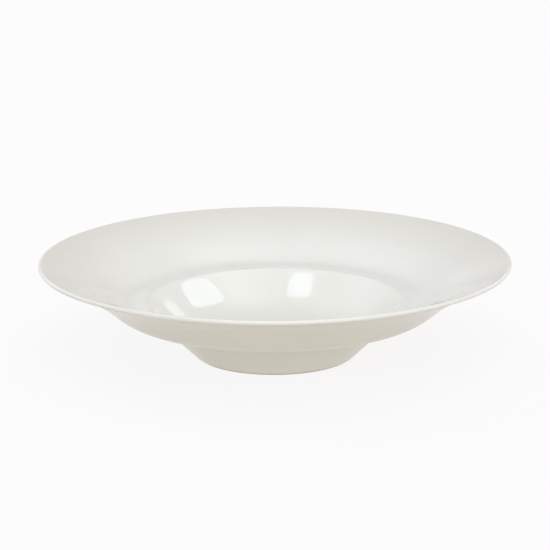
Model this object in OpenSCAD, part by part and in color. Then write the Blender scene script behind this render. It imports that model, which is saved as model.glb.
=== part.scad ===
// Wide-rimmed pasta bowl: one fired clay body, the glaze coat over it, and the patch of glaze under its base.
// Millimetres. Z is up, and the origin is the middle of the circle on which the foot ring stands.

/* [Bowl] */
// Diameter across the lip, over the glaze
rim_d = 280; // [250:1:320]
// Height from the table to the top of the lip, over the glaze
bowl_h = 58.5; // [52:0.5:72]
// Thickness of the fired glaze, outside and inside
glaze_t = 0.3; // [0.2:0.05:0.45]

/* [Foot ring] */
// Outer diameter of the foot ring at the table
foot_d = 94; // [80:1:110]
// Width of the ring on which the bowl stands, before its edges are rounded
foot_w = 4.5; // [3.5:0.1:6]
// Depth of the recess inside the foot ring
foot_h = 3.5; // [2.5:0.1:5]
// Lean of the ring's inner side from the vertical, in degrees
foot_draft = 15; // [5:1:25]
// Rounding of the ring's two standing edges
foot_edge_r = 0.8; // [0.4:0.1:1.2]
// Rounding where the recess meets the ring
recess_r = 1.5; // [1:0.1:2]
// Height to which the glaze is wiped off the ring
bare_h = 1.4; // [1.2:0.1:1.8]

/* [Well] */
// Diameter of the well at the fold, where its wall meets the ledge
well_d = 154; // [140:1:165]
// Diameter of the well's floor, out to the corner that the bend rounds off
floor_d = 90; // [76:1:100]
// Thickness of the clay between the floor and the recess
base_t = 4; // [3:0.1:6]
// Radius of the bend from the floor into the wall
well_bend_r = 55; // [30:1:58]
// Radius of the fold between the wall and the ledge
fold_r = 2.5; // [1.5:0.1:4]
// Thickness of the well's wall at the shoulder
wall_t = 3; // [2.5:0.1:4.5]

/* [Ledge] */
// Height of the ledge's underside above the table
ledge_h = 25.3; // [21:0.1:29]
// Thickness of the ledge between the well and the flange
ledge_t = 7; // [5:0.1:9]
// Width of the ledge's level top, between the fold and where the flange begins
ledge_w = 2; // [1:0.1:6]
// Radius of the hollow between the lower wall and the ledge's underside
shoulder_r = 12; // [6:1:16]

/* [Flange] */
// Thickness of the lip
lip_t = 2; // [1.5:0.1:3]
// Rise of the flange at the lip, in degrees
lip_rise = 22; // [14:1:28]
// How far the flange runs on level from the ledge, as a share of its width
level_run_share = 0.39; // [0.25:0.01:0.5]
// How far the flange runs back at the lip's own rise, as a share of its width
lip_run_share = 0.83; // [0.6:0.01:0.95]

/* [Hidden] */
$fn = 180;

// Degrees from one point of a round corner to the next, and points along the flange
turn_step = 5;
flange_steps = 30;

foot_out = foot_d / 2;
foot_in = foot_out - foot_w;
recess_out = foot_in - foot_h * tan(foot_draft);
fold_at = [well_d / 2, ledge_h + ledge_t];
floor_at = [floor_d / 2, foot_h + base_t];

// The lower wall's outside meets the ledge a wall's thickness from the line of the well's inside
well_slope = atan2(fold_at.y - floor_at.y, fold_at.x - floor_at.x);
inside_at_ledge = floor_at.x + (ledge_h - floor_at.y) / tan(well_slope);
shoulder_at = [inside_at_ledge + wall_t / sin(well_slope), ledge_h];
flange_at = [fold_at.x + ledge_w, ledge_h];

// The lip is a half round, and the glaze over it gives the bowl's full diameter and height
lip_r = lip_t / 2;
lip_at = [rim_d / 2 - glaze_t - lip_r, bowl_h - glaze_t - lip_r];
lip_under = lip_at + lip_r * [sin(lip_rise), -cos(lip_rise)];
flange_w = lip_under.x - flange_at.x;

// Point at a share of the way from one point to another
function between(a, b, share) = a + (b - a) * share;

// Points of the arc that rounds a corner, limited to half of each side
function round_corner(from, at, to, r) =
    let (
        back = (from - at) / norm(from - at),
        on = (to - at) / norm(to - at),
        half = acos(back * on) / 2,
        reach = min(r / tan(half), norm(from - at) / 2, norm(to - at) / 2),
        radius = reach * tan(half),
        side = sign(back.y * on.x - back.x * on.y),
        first = at + back * reach,
        centre = first + side * radius * [back.y, -back.x],
        start = first - centre,
        turn = 180 - 2 * half,
        steps = max(2, ceil(turn / turn_step))
    )
    [for (i = [0 : steps]) centre + turned(start, side * turn * i / steps)];

// Vector turned anticlockwise
function turned(v, angle) = [v.x * cos(angle) - v.y * sin(angle), v.x * sin(angle) + v.y * cos(angle)];

// Cubic curve from a to d, which leaves a towards b and reaches d from c, and its direction
function cubic(a, b, c, d, t) =
    pow(1 - t, 3) * a + 3 * pow(1 - t, 2) * t * b + 3 * (1 - t) * pow(t, 2) * c + pow(t, 3) * d;
function cubic_way(a, b, c, d, t) =
    let (way = pow(1 - t, 2) * (b - a) + 2 * (1 - t) * t * (c - b) + pow(t, 2) * (d - c))
    way / norm(way);

level_end = flange_at + [flange_w * level_run_share, 0];
rise_start = lip_under - flange_w * lip_run_share * [cos(lip_rise), sin(lip_rise)];

// The flange's underside, and its top, which keeps the ledge's thickness at first and thins towards the lip
function flange_under(t) = cubic(flange_at, level_end, rise_start, lip_under, t);
function flange_thickness(t) = lip_t + (ledge_t - lip_t) * pow(1 - pow(t, 3), 2);
function flange_top(t) =
    let (way = cubic_way(flange_at, level_end, rise_start, lip_under, t))
    flange_under(t) + flange_thickness(t) * [-way.y, way.x];

// Path with each point moved out of the clay, which lies to the left of the path's way
function coated(path, depth) =
    [for (i = [0 : len(path) - 1])
        let (way = path[min(i + 1, len(path) - 1)] - path[max(i - 1, 0)])
        path[i] + depth * [way.y, -way.x] / norm(way)];

function reversed(path) = [for (i = [len(path) - 1 : -1 : 0]) path[i]];

// The recess under the base, from the axis out and down to where the glaze ends
recess_corner = [recess_out, foot_h];
ring_in = [foot_in, 0];
recess_path = concat(
    [[0, foot_h]],
    round_corner([0, foot_h], recess_corner, ring_in, recess_r),
    [between(ring_in, recess_corner, bare_h / foot_h)]
);

// The bare ring on which the bowl stands
ring_out = [foot_out, 0];
ring_path = concat(
    round_corner(recess_corner, ring_in, ring_out, foot_edge_r),
    round_corner(ring_in, ring_out, shoulder_at, foot_edge_r)
);

// All that the main coat covers, from the ring up, round the lip, and in to the middle of the floor
outside_path = concat(
    [between(ring_out, shoulder_at, bare_h / ledge_h)],
    round_corner(ring_out, shoulder_at, flange_at, shoulder_r),
    [for (i = [0 : flange_steps]) flange_under(i / flange_steps)]
);
lip_steps = 180 / turn_step / 2;
lip_path = [for (i = [1 : lip_steps - 1]) lip_at + turned(lip_under - lip_at, 180 * i / lip_steps)];
inside_path = concat(
    [for (i = [0 : flange_steps]) flange_top(1 - i / flange_steps)],
    round_corner(flange_top(0), fold_at, floor_at, fold_r),
    round_corner(fold_at, floor_at, [0, floor_at.y], well_bend_r),
    [[0, floor_at.y]]
);
coat_path = concat(outside_path, lip_path, inside_path);

module clay_body() {
    color("#e3dccb")
        rotate_extrude()
            polygon(concat(recess_path, ring_path, coat_path));
}

module glaze_coat() {
    color("#f1f0eb")
        rotate_extrude()
            polygon(concat(coated(coat_path, glaze_t), reversed(coat_path)));
}

module base_glaze() {
    color("#e9e7e0")
        rotate_extrude()
            polygon(concat(coated(recess_path, glaze_t), reversed(recess_path)));
}

clay_body();
glaze_coat();
base_glaze();
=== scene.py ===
import math

import bpy
import numpy as np
from mathutils import Matrix, Vector


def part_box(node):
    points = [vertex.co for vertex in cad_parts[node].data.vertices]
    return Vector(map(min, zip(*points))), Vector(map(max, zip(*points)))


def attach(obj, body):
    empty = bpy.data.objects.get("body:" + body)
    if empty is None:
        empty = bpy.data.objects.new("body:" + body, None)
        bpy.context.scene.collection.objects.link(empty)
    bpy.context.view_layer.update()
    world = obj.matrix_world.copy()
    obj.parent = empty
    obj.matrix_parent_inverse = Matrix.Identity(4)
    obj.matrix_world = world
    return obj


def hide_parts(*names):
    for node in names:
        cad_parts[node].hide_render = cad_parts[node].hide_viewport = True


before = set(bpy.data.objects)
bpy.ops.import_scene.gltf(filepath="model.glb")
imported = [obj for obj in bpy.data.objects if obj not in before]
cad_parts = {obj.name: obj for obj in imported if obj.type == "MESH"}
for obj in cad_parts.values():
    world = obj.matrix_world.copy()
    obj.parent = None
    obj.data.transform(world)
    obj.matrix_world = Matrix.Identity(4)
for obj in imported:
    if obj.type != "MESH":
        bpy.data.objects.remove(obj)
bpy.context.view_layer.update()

MM = 0.001

# Sizes of the finished bowl. The rim and the height come from the frame, the rest are the maker's own.
coat_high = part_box("glaze_coat")[1]
rim_r = coat_high.x
bowl_h = coat_high.z
glaze_t = 0.3 * MM
foot_r = 47 * MM
foot_w = 4.5 * MM
foot_h = 3.5 * MM
foot_lean = math.radians(15)
recess_bend_r = 1.5 * MM
bare_h = 1.4 * MM
well_r = 77 * MM
floor_r = 45 * MM
base_t = 4 * MM
well_bend_r = 55 * MM
fold_r = 2.5 * MM
wall_t = 3 * MM
ledge_h = 25.3 * MM
ledge_t = 7 * MM
ledge_w = 2 * MM
shoulder_bend_r = 12 * MM
lip_t = 2 * MM
lip_rise = math.radians(22)
level_run_share = 0.39
lip_run_share = 0.83

# Rows of points along the flange, round each bend and on straight stretches, and steps round the axis
FLANGE_ROWS = 36
LIP_ROWS = 17
BEND_ROWS = 16
FOLD_ROWS = 9
EDGE_ROWS = 7
ROW_STEP = 2.5 * MM
TURNS = 272

# Nearer to the axis than this, a point lies on it
ON_AXIS = 1e-9

# Distances from the axis over which the glaze turns darker and warmer towards the lip, over which that stops
# at the lip's bead, and over which the bead's outer round is drawn paler as a painted highlight
LIP_BAND_FROM = 108 * MM
LIP_BAND_TO = 136 * MM
BEAD_FROM = 138.1 * MM
BEAD_TO = 138.8 * MM
LIP_HIGHLIGHT_FROM = 139 * MM
LIP_HIGHLIGHT_TO = 139.5 * MM

# Roughness of each glaze, and how much rougher the main one is towards the lip
GLOSSY = 0.05
SATIN = 0.16
LIP_BAND_DULLING = 0.15
GLAZE_IOR = 1.52

# Floor: half its width, its glow, its white, and how much of that white shows in reflections and to the eye
FLOOR_HALF = 6.0
FLOOR_GLOW = 0.46
FLOOR_WHITE = 1.03
WHITE_IN_REFLECTIONS = 0.5
MORE_WHITE_TO_THE_EYE = 0.35
FLOOR_COLOUR = "#fcfbfc"

# Window lamps: name, place from the middle of the rim, way of the longer side, length, width and brightness
DAYLIGHT = "#dff4ff"
LAMPS = [
    ("top_softbox", (-0.121, 0.094, 0.584), (0.88, -0.41, 0.24), 0.135, 0.028, 3.2),
    ("right_window", (0.274, 0.304, 0.443), (-0.17, -0.81, 0.56), 0.29, 0.04, 2.7),
    ("low_right_window", (0.198, 0.533, 0.191), (0.46, -0.45, 0.77), 0.16, 0.018, 1.0),
]

# Room: its plain level, and its soft panels, each with the way to it, its tightness, strength and colour
ROOM_BASE = 0.17
WHITE = "#ffffff"
WARM_WHITE = "#fff8ee"
ROOM = [
    ((0, -0.71, 0.71), 8, 1.35, WHITE),
    ((-0.45, -0.6, 0.66), 8, 0.2, WHITE),
    ((0, -0.98, 0.21), 8, 1.37, WHITE),
    ((0.69, -0.69, 0.21), 8, 0.5, WHITE),
    ((0.98, -0.1, 0.17), 8, 0.26, WHITE),
    ((0.69, 0.69, 0.21), 8, 1.2, WARM_WHITE),
    ((-0.69, 0.69, 0.21), 8, 1.34, WHITE),
    ((-0.07, 0.98, 0.18), 40, 0.45, WHITE),
    ((0.32, 0.1, 0.94), 25, 1.54, WHITE),
    ((-0.32, 0.1, 0.94), 25, 0.89, WHITE),
    ((-0.53, 0.44, 0.72), 25, 0.92, WHITE),
    ((0, -0.26, 0.97), 40, 0.6, WHITE),
]

# Camera: how far it looks down, its distance in rim radii, and in pixels the frame, the focal length and the
# place of the rim's middle. The frame leans a little.
VIEW_RISE = math.radians(13.96)
VIEW_RADII = 9
FRAME_PX = 550
FOCAL_PX = 2120
RIM_CENTRE_PX = (274.9, 257.6)
LEAN = math.radians(0.33)
SENSOR_MM = 36
SIGHT_RANGE = 30


# Profiles, as rows of radius and height


def round_corner(before, at, after, radius, count):
    """Arc of the given radius that touches both sides of a corner: its tangent points lie radius over the
    tangent of half the angle from the corner, and no further than half of the shorter side."""
    before, at, after = np.array(before), np.array(at), np.array(after)
    back = (before - at) / np.linalg.norm(before - at)
    on = (after - at) / np.linalg.norm(after - at)
    half = math.acos(back @ on) / 2
    reach = min(radius / math.tan(half), np.linalg.norm(before - at) / 2, np.linalg.norm(after - at) / 2)
    middle = (back + on) / np.linalg.norm(back + on)
    centre = at + middle * reach / math.cos(half)
    first = at + back * reach - centre
    last = at + on * reach - centre
    turn = math.atan2(first[0] * last[1] - first[1] * last[0], first @ last)
    angle = np.linspace(0, turn, count)[:, None]
    across = np.array([-first[1], first[0]])
    return centre + first * np.cos(angle) + across * np.sin(angle)


def cubic(a, b, c, d, t):
    """Cubic curve that leaves a towards b and reaches d from c, at shares t of its way."""
    t = t[:, None]
    return (1 - t) ** 3 * a + 3 * (1 - t) ** 2 * t * b + 3 * (1 - t) * t**2 * c + t**3 * d


def cubic_way(a, b, c, d, t):
    """Direction of that curve, as unit vectors."""
    t = t[:, None]
    way = (1 - t) ** 2 * (b - a) + 2 * (1 - t) * t * (c - b) + t**2 * (d - c)
    return way / np.linalg.norm(way, axis=1)[:, None]


def spaced(path, step):
    """The same path with each straight stretch cut into equal pieces no longer than step: the start of the
    stretch plus a share of it, from one piece up to all of them."""
    stretch = np.diff(path, axis=0)
    pieces = np.maximum(1, np.ceil(np.linalg.norm(stretch, axis=1) / step)).astype(int)
    before = np.repeat(np.cumsum(pieces) - pieces, pieces)
    share = (np.arange(1, pieces.sum() + 1) - before) / np.repeat(pieces, pieces)
    cut = np.repeat(path[:-1], pieces, axis=0) + np.repeat(stretch, pieces, axis=0) * share[:, None]
    return np.concatenate([path[:1], cut])


def moved_out(path, depth):
    """Each point moved off the clay, which lies to the left of the path's way, along the mean normal of its
    two sides. A point on the axis moves straight up or down."""
    way = np.gradient(path, axis=0)
    normal = np.stack([way[:, 1], -way[:, 0]], 1) / np.linalg.norm(way, axis=1)[:, None]
    out = path + normal * depth
    out[path[:, 0] < ON_AXIS, 0] = 0
    return out


def coat_profile():
    """Surface of the clay under the main coat, from the glaze's edge on the foot, up, round the lip and in to
    the axis. The flange's underside is a cubic curve, and its top is that curve moved out by a thickness: the
    lip's, plus the ledge's excess over it times the square of one less the cube of the share gone."""
    fold = np.array([well_r, ledge_h + ledge_t])
    floor = np.array([floor_r, foot_h + base_t])
    slope = math.atan2(fold[1] - floor[1], fold[0] - floor[0])
    inside_at_ledge = floor[0] + (ledge_h - floor[1]) / math.tan(slope)
    shoulder = np.array([inside_at_ledge + wall_t / math.sin(slope), ledge_h])
    ring = np.array([foot_r, 0.0])
    flange = np.array([well_r + ledge_w, ledge_h])
    lip_r = lip_t / 2
    lip = np.array([rim_r - glaze_t - lip_r, bowl_h - glaze_t - lip_r])
    lip_under = lip + lip_r * np.array([math.sin(lip_rise), -math.cos(lip_rise)])
    width = lip_under[0] - flange[0]
    level_end = flange + [width * level_run_share, 0]
    rise_start = lip_under - width * lip_run_share * np.array([math.cos(lip_rise), math.sin(lip_rise)])

    share = np.linspace(0, 1, FLANGE_ROWS)
    under = cubic(flange, level_end, rise_start, lip_under, share)
    way = cubic_way(flange, level_end, rise_start, lip_under, share)
    thickness = lip_t + (ledge_t - lip_t) * (1 - share**3) ** 2
    top = under + thickness[:, None] * np.stack([-way[:, 1], way[:, 0]], 1)
    turn = np.linspace(0, math.pi, LIP_ROWS)[1:-1, None]
    arm = lip_under - lip
    lip_arc = lip + arm * np.cos(turn) + np.array([-arm[1], arm[0]]) * np.sin(turn)

    edge = ring + (shoulder - ring) * bare_h / ledge_h
    return np.concatenate([
        edge[None],
        round_corner(ring, shoulder, flange, shoulder_bend_r, BEND_ROWS),
        under,
        lip_arc,
        top[::-1],
        round_corner(top[0], fold, floor, fold_r, FOLD_ROWS),
        round_corner(fold, floor, [0, floor[1]], well_bend_r, BEND_ROWS),
        [[0, floor[1]]],
    ])


def recess_profile():
    """Surface of the clay under the patch of glaze, from the axis out, round the recess's bend and down to
    the patch's edge."""
    ring = np.array([foot_r - foot_w, 0.0])
    corner = np.array([ring[0] - foot_h * math.tan(foot_lean), foot_h])
    edge = ring + (corner - ring) * bare_h / foot_h
    bend = round_corner([0, foot_h], corner, ring, recess_bend_r, BEND_ROWS)
    return np.concatenate([[[0, foot_h]], bend, edge[None]])


def skin_profile(clay, depth, edge_at_start):
    """Closed outline of a skin on the clay: its outer face, a half-round edge where the glaze was wiped off,
    and its inner face on the clay."""
    outer = moved_out(clay, depth)
    end = 0 if edge_at_start else -1
    foot, crest = clay[end], outer[end]
    middle = (foot + crest) / 2
    arm = crest - middle
    away = clay[0] - clay[1] if edge_at_start else clay[-1] - clay[-2]
    away = away / np.linalg.norm(away) * np.linalg.norm(arm)
    turn = np.linspace(0, math.pi, EDGE_ROWS)[1:-1, None]
    bead = middle + arm * np.cos(turn) + away * np.sin(turn)
    if edge_at_start:
        return np.concatenate([clay[::-1], bead[::-1], outer])
    return np.concatenate([outer, bead, clay[::-1]])


# Meshes


def revolved(name, profile, turns):
    """Profile carried round the axis: the point at angle a is radius times cosine and sine of a, and height.
    An end of the profile on the axis is one point with a fan of triangles."""
    angle = np.linspace(0, 2 * math.pi, turns, endpoint=False)
    body = profile[1:-1]
    ring_x = body[:, :1] * np.cos(angle)
    ring_y = body[:, :1] * np.sin(angle)
    ring_z = np.broadcast_to(body[:, 1:], ring_x.shape)
    grid = np.stack([ring_x, ring_y, ring_z], -1).reshape(-1, 3)
    poles = np.array([[0, 0, profile[0, 1]], [0, 0, profile[-1, 1]]])
    points = np.concatenate([grid, poles])

    rows = len(body)
    index = np.arange(rows * turns).reshape(rows, turns)
    after = np.roll(index, -1, axis=1)
    quads = np.stack([index[:-1], after[:-1], after[1:], index[1:]], -1).reshape(-1, 4)
    first, last = rows * turns, rows * turns + 1
    start_fan = np.stack([np.full(turns, first), after[0], index[0]], -1)
    end_fan = np.stack([np.full(turns, last), index[-1], after[-1]], -1)

    mesh = bpy.data.meshes.new(name)
    mesh.from_pydata(points.tolist(), [], quads.tolist() + start_fan.tolist() + end_fan.tolist())
    mesh.polygons.foreach_set("use_smooth", np.ones(len(mesh.polygons), bool))
    mesh.update()
    piece = bpy.data.objects.new(name, mesh)
    bpy.context.scene.collection.objects.link(piece)
    return piece


# Materials


def linear(hex_colour):
    """Linear colour with full alpha from an sRGB hex value."""
    parts = [int(hex_colour[i:i + 2], 16) / 255 for i in (1, 3, 5)]
    return [p / 12.92 if p <= 0.04045 else ((p + 0.055) / 1.055) ** 2.4 for p in parts] + [1.0]


def add_node(tree, kind, inputs=None, **settings):
    """Adds a node, sets its settings, and sets each input to a value or links it to an output socket."""
    node = tree.nodes.new(kind)
    for key, value in settings.items():
        setattr(node, key, value)
    for key, value in (inputs or {}).items():
        if isinstance(value, bpy.types.NodeSocket):
            tree.links.new(value, node.inputs[key])
        else:
            node.inputs[key].default_value = value
    return node


def new_material(name):
    """New material with an empty node tree, and that tree."""
    material = bpy.data.materials.new(name)
    material.use_nodes = True
    material.node_tree.nodes.clear()
    return material, material.node_tree


def opaque_glaze(name, full, thin, roughness, at_lip=None, lip_highlight=None):
    """Opaque feldspathic glaze, poured and fired glossy: a clear warm white with soft clouding some
    centimetres wide and the shallow orange peel that a fired glaze has. On a flange it turns faintly darker,
    warmer and duller towards the lip, and goes back to its full colour on the lip's bead. The bead's
    outermost round is a touch paler, a painted highlight for the lit edge of the lip."""
    material, tree = new_material(name)
    place = add_node(tree, "ShaderNodeTexCoord").outputs["Object"]
    cloud_size = 38 * MM
    cloud = add_node(tree, "ShaderNodeTexNoise", {"Vector": place, "Scale": 1 / cloud_size, "Detail": 3.0})
    clouded = add_node(tree, "ShaderNodeMapRange", {
        "Value": cloud.outputs["Fac"],
        "From Min": 0.35,
        "From Max": 0.65,
        "To Min": 0.0,
        "To Max": 0.5,
    })
    colour = add_node(tree, "ShaderNodeMix", {
        "Factor": clouded.outputs["Result"],
        "A": full,
        "B": thin,
    }, data_type="RGBA").outputs["Result"]
    if at_lip:
        flat = add_node(tree, "ShaderNodeVectorMath", {0: place, 1: (1, 1, 0)}, operation="MULTIPLY")
        radius = add_node(tree, "ShaderNodeVectorMath", {0: flat.outputs["Vector"]}, operation="LENGTH")
        towards_lip = add_node(tree, "ShaderNodeMapRange", {
            "Value": radius.outputs["Value"],
            "From Min": LIP_BAND_FROM,
            "From Max": LIP_BAND_TO,
            "To Min": 0.0,
            "To Max": 1.0,
        })
        off_bead = add_node(tree, "ShaderNodeMapRange", {
            "Value": radius.outputs["Value"],
            "From Min": BEAD_FROM,
            "From Max": BEAD_TO,
            "To Min": 1.0,
            "To Max": 0.0,
        })
        lip_band = add_node(tree, "ShaderNodeMath", {
            0: towards_lip.outputs["Result"],
            1: off_bead.outputs["Result"],
        }, operation="MULTIPLY").outputs["Value"]
        colour = add_node(tree, "ShaderNodeMix", {
            "Factor": lip_band,
            "A": colour,
            "B": at_lip,
        }, data_type="RGBA").outputs["Result"]
        # Painted highlight: the lip's outermost round is drawn paler, standing in for the lit edge of the lip
        highlight_share = add_node(tree, "ShaderNodeMapRange", {
            "Value": radius.outputs["Value"],
            "From Min": LIP_HIGHLIGHT_FROM,
            "From Max": LIP_HIGHLIGHT_TO,
            "To Min": 0.0,
            "To Max": 1.0,
        })
        colour = add_node(tree, "ShaderNodeMix", {
            "Factor": highlight_share.outputs["Result"],
            "A": colour,
            "B": lip_highlight,
        }, data_type="RGBA").outputs["Result"]
        roughness = add_node(tree, "ShaderNodeMapRange", {
            "Value": lip_band,
            "To Min": roughness,
            "To Max": roughness + LIP_BAND_DULLING,
        }).outputs["Result"]
    peel_size = 2.6 * MM
    peel_depth = 0.02 * MM
    peel = add_node(tree, "ShaderNodeTexNoise", {"Vector": place, "Scale": 1 / peel_size, "Detail": 2.0})
    bump = add_node(tree, "ShaderNodeBump", {
        "Height": peel.outputs["Fac"],
        "Strength": 0.35,
        "Distance": peel_depth,
    })
    shader = add_node(tree, "ShaderNodeBsdfPrincipled", {
        "Base Color": colour,
        "Roughness": roughness,
        "IOR": GLAZE_IOR,
        "Normal": bump.outputs["Normal"],
    })
    add_node(tree, "ShaderNodeOutputMaterial", {"Surface": shader.outputs["BSDF"]})
    return material


def bare_biscuit(name):
    """Fired clay left bare and ground on a wet stone: matt, warmer than the glaze, with fine grog and open
    pores. The real grain and pores are finer, and are drawn coarser so that they show."""
    material, tree = new_material(name)
    place = add_node(tree, "ShaderNodeTexCoord").outputs["Object"]
    grain_size = 0.6 * MM
    pore_size = 1.1 * MM
    pore_depth = 0.05 * MM
    grain = add_node(tree, "ShaderNodeTexNoise", {"Vector": place, "Scale": 1 / grain_size, "Detail": 4.0})
    grog = add_node(tree, "ShaderNodeMapRange", {
        "Value": grain.outputs["Fac"],
        "From Min": 0.3,
        "From Max": 0.7,
    })
    colour = add_node(tree, "ShaderNodeMix", {
        "Factor": grog.outputs["Result"],
        "A": linear("#cfc6b4"),
        "B": linear("#e8e2d5"),
    }, data_type="RGBA")
    pores = add_node(tree, "ShaderNodeTexVoronoi", {"Vector": place, "Scale": 1 / pore_size})
    relief = add_node(tree, "ShaderNodeMath", {
        0: grain.outputs["Fac"],
        1: pores.outputs["Distance"],
    }, operation="ADD")
    bump = add_node(tree, "ShaderNodeBump", {
        "Height": relief.outputs["Value"],
        "Strength": 0.6,
        "Distance": pore_depth,
    })
    shader = add_node(tree, "ShaderNodeBsdfPrincipled", {
        "Base Color": colour.outputs["Result"],
        "Roughness": 0.85,
        "IOR": 1.5,
        "Normal": bump.outputs["Normal"],
    })
    add_node(tree, "ShaderNodeOutputMaterial", {"Surface": shader.outputs["BSDF"]})
    return material


def studio_floor(name):
    """Seamless pale sheet, lit a little from below as a light table is: white where the camera or a
    reflection sees it, with the bowl's soft shadow, and a touch warmer in the light it throws back."""
    material, tree = new_material(name)
    path = add_node(tree, "ShaderNodeLightPath")
    seen = add_node(tree, "ShaderNodeMath", {
        0: path.outputs["Is Camera Ray"],
        1: path.outputs["Is Glossy Ray"],
    }, operation="MAXIMUM")
    seen = add_node(tree, "ShaderNodeMath", {
        0: seen.outputs["Value"],
        1: path.outputs["Is Transmission Ray"],
    }, operation="MAXIMUM")
    sheet = add_node(tree, "ShaderNodeBsdfDiffuse", {"Color": linear("#6a665f")})
    glow = add_node(tree, "ShaderNodeEmission", {"Color": linear("#fff8e7"), "Strength": FLOOR_GLOW})
    table = add_node(tree, "ShaderNodeAddShader", {0: sheet.outputs["BSDF"], 1: glow.outputs["Emission"]})
    shaded = add_node(tree, "ShaderNodeBsdfDiffuse", {"Color": linear(FLOOR_COLOUR)})
    white = add_node(tree, "ShaderNodeEmission", {"Color": linear(FLOOR_COLOUR), "Strength": FLOOR_WHITE})
    share = add_node(tree, "ShaderNodeMath", {
        0: path.outputs["Is Camera Ray"],
        1: MORE_WHITE_TO_THE_EYE,
        2: WHITE_IN_REFLECTIONS,
    }, operation="MULTIPLY_ADD")
    bright = add_node(tree, "ShaderNodeMixShader", {
        "Fac": share.outputs["Value"],
        1: shaded.outputs["BSDF"],
        2: white.outputs["Emission"],
    })
    both = add_node(tree, "ShaderNodeMixShader", {
        "Fac": seen.outputs["Value"],
        1: table.outputs["Shader"],
        2: bright.outputs["Shader"],
    })
    add_node(tree, "ShaderNodeOutputMaterial", {"Surface": both.outputs["Shader"]})
    return material


# The bowl

# The last colour given is a painted highlight on the lip's outermost round
main_glaze = opaque_glaze(
    "glossy_white_glaze", linear("#f4f4f0"), linear("#f1f0ea"), GLOSSY, linear("#ebe8e2"), linear("#f9f9f6"))
patch_glaze = opaque_glaze("thin_white_glaze", linear("#ebe9e1"), linear("#e2ddd0"), SATIN)
biscuit = bare_biscuit("ground_biscuit")

coat = revolved("main_glaze", skin_profile(spaced(coat_profile(), ROW_STEP), glaze_t, True), TURNS)
coat.data.materials.append(main_glaze)
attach(coat, "root")
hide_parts("glaze_coat")

patch = revolved("foot_glaze", skin_profile(spaced(recess_profile(), ROW_STEP), glaze_t, False), TURNS)
patch.data.materials.append(patch_glaze)
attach(patch, "root")
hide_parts("base_glaze")

for clay_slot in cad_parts["clay_body"].material_slots:
    clay_slot.material = biscuit


# Floor, light and camera

floor_mesh = bpy.data.meshes.new("studio_floor")
floor_corners = [
    (-FLOOR_HALF, -FLOOR_HALF, 0),
    (FLOOR_HALF, -FLOOR_HALF, 0),
    (FLOOR_HALF, FLOOR_HALF, 0),
    (-FLOOR_HALF, FLOOR_HALF, 0),
]
floor_mesh.from_pydata(floor_corners, [], [(0, 1, 2, 3)])
studio = bpy.data.objects.new("studio_floor", floor_mesh)
bpy.context.scene.collection.objects.link(studio)
studio.data.materials.append(studio_floor("pale_paper"))


def softbox(name, place, long_way, length, width, brightness):
    """Oval area lamp that faces the middle of the rim from a place relative to it, its longer side along
    long_way. Its power is its brightness times pi times its area."""
    away = Vector(place).normalized()
    along = (Vector(long_way) - away * away.dot(Vector(long_way))).normalized()
    across = away.cross(along)
    lamp = bpy.data.lights.new(name, "AREA")
    lamp.shape = "ELLIPSE"
    lamp.size, lamp.size_y = length, width
    lamp.energy = brightness * math.pi * math.pi / 4 * length * width
    lamp.color = linear(DAYLIGHT)[:3]
    holder = bpy.data.objects.new(name, lamp)
    holder.location = Vector((0, 0, bowl_h)) + Vector(place)
    holder.rotation_euler = Matrix((along, across, away)).transposed().to_euler()
    bpy.context.scene.collection.objects.link(holder)


for name, place, long_way, length, width, brightness in LAMPS:
    softbox(name, place, long_way, length, width, brightness)

# Each panel of the room is its strength times the cosine of the angle to it, raised to its tightness
world = bpy.data.worlds.new("studio_room")
bpy.context.scene.world = world
world.use_nodes = True
tree = world.node_tree
tree.nodes.clear()
way = add_node(tree, "ShaderNodeTexCoord").outputs["Generated"]
level = add_node(tree, "ShaderNodeCombineXYZ", {"X": ROOM_BASE, "Y": ROOM_BASE, "Z": ROOM_BASE})
light = level.outputs["Vector"]
for towards, tightness, strength, colour in ROOM:
    centre = Vector(towards).normalized()
    facing = add_node(tree, "ShaderNodeVectorMath", {0: way, 1: centre}, operation="DOT_PRODUCT")
    facing = add_node(tree, "ShaderNodeMath", {0: facing.outputs["Value"], 1: 0.0}, operation="MAXIMUM")
    facing = add_node(tree, "ShaderNodeMath", {0: facing.outputs["Value"], 1: tightness}, operation="POWER")
    panel = add_node(tree, "ShaderNodeVectorMath", {
        0: [strength * part for part in linear(colour)[:3]],
        3: facing.outputs["Value"],
    }, operation="SCALE")
    light = add_node(tree, "ShaderNodeVectorMath", {0: light, 1: panel.outputs["Vector"]}).outputs["Vector"]
air = add_node(tree, "ShaderNodeBackground", {"Color": light, "Strength": 1.0})
add_node(tree, "ShaderNodeOutputWorld", {"Surface": air.outputs["Background"]})

camera = bpy.data.cameras.new("camera")
camera.sensor_width = SENSOR_MM
camera.lens = FOCAL_PX * SENSOR_MM / FRAME_PX
camera.clip_end = SIGHT_RANGE
eye = bpy.data.objects.new("camera", camera)
bpy.context.scene.collection.objects.link(eye)
rim_centre = Vector((0, 0, bowl_h))
eye_way = Vector((0, -math.cos(VIEW_RISE), math.sin(VIEW_RISE)))
eye.location = rim_centre + VIEW_RADII * rim_r * eye_way
dip = math.atan((FRAME_PX / 2 - RIM_CENTRE_PX[1]) / FOCAL_PX)
turn = math.atan((RIM_CENTRE_PX[0] - FRAME_PX / 2) / FOCAL_PX)
aim = Matrix.Rotation(turn, 4, "Z") @ Matrix.Rotation(math.pi / 2 - VIEW_RISE - dip, 4, "X")
eye.rotation_euler = (aim @ Matrix.Rotation(-LEAN, 4, "Z")).to_euler()
bpy.context.scene.camera = eye

bpy.context.scene.view_settings.view_transform = "Standard"
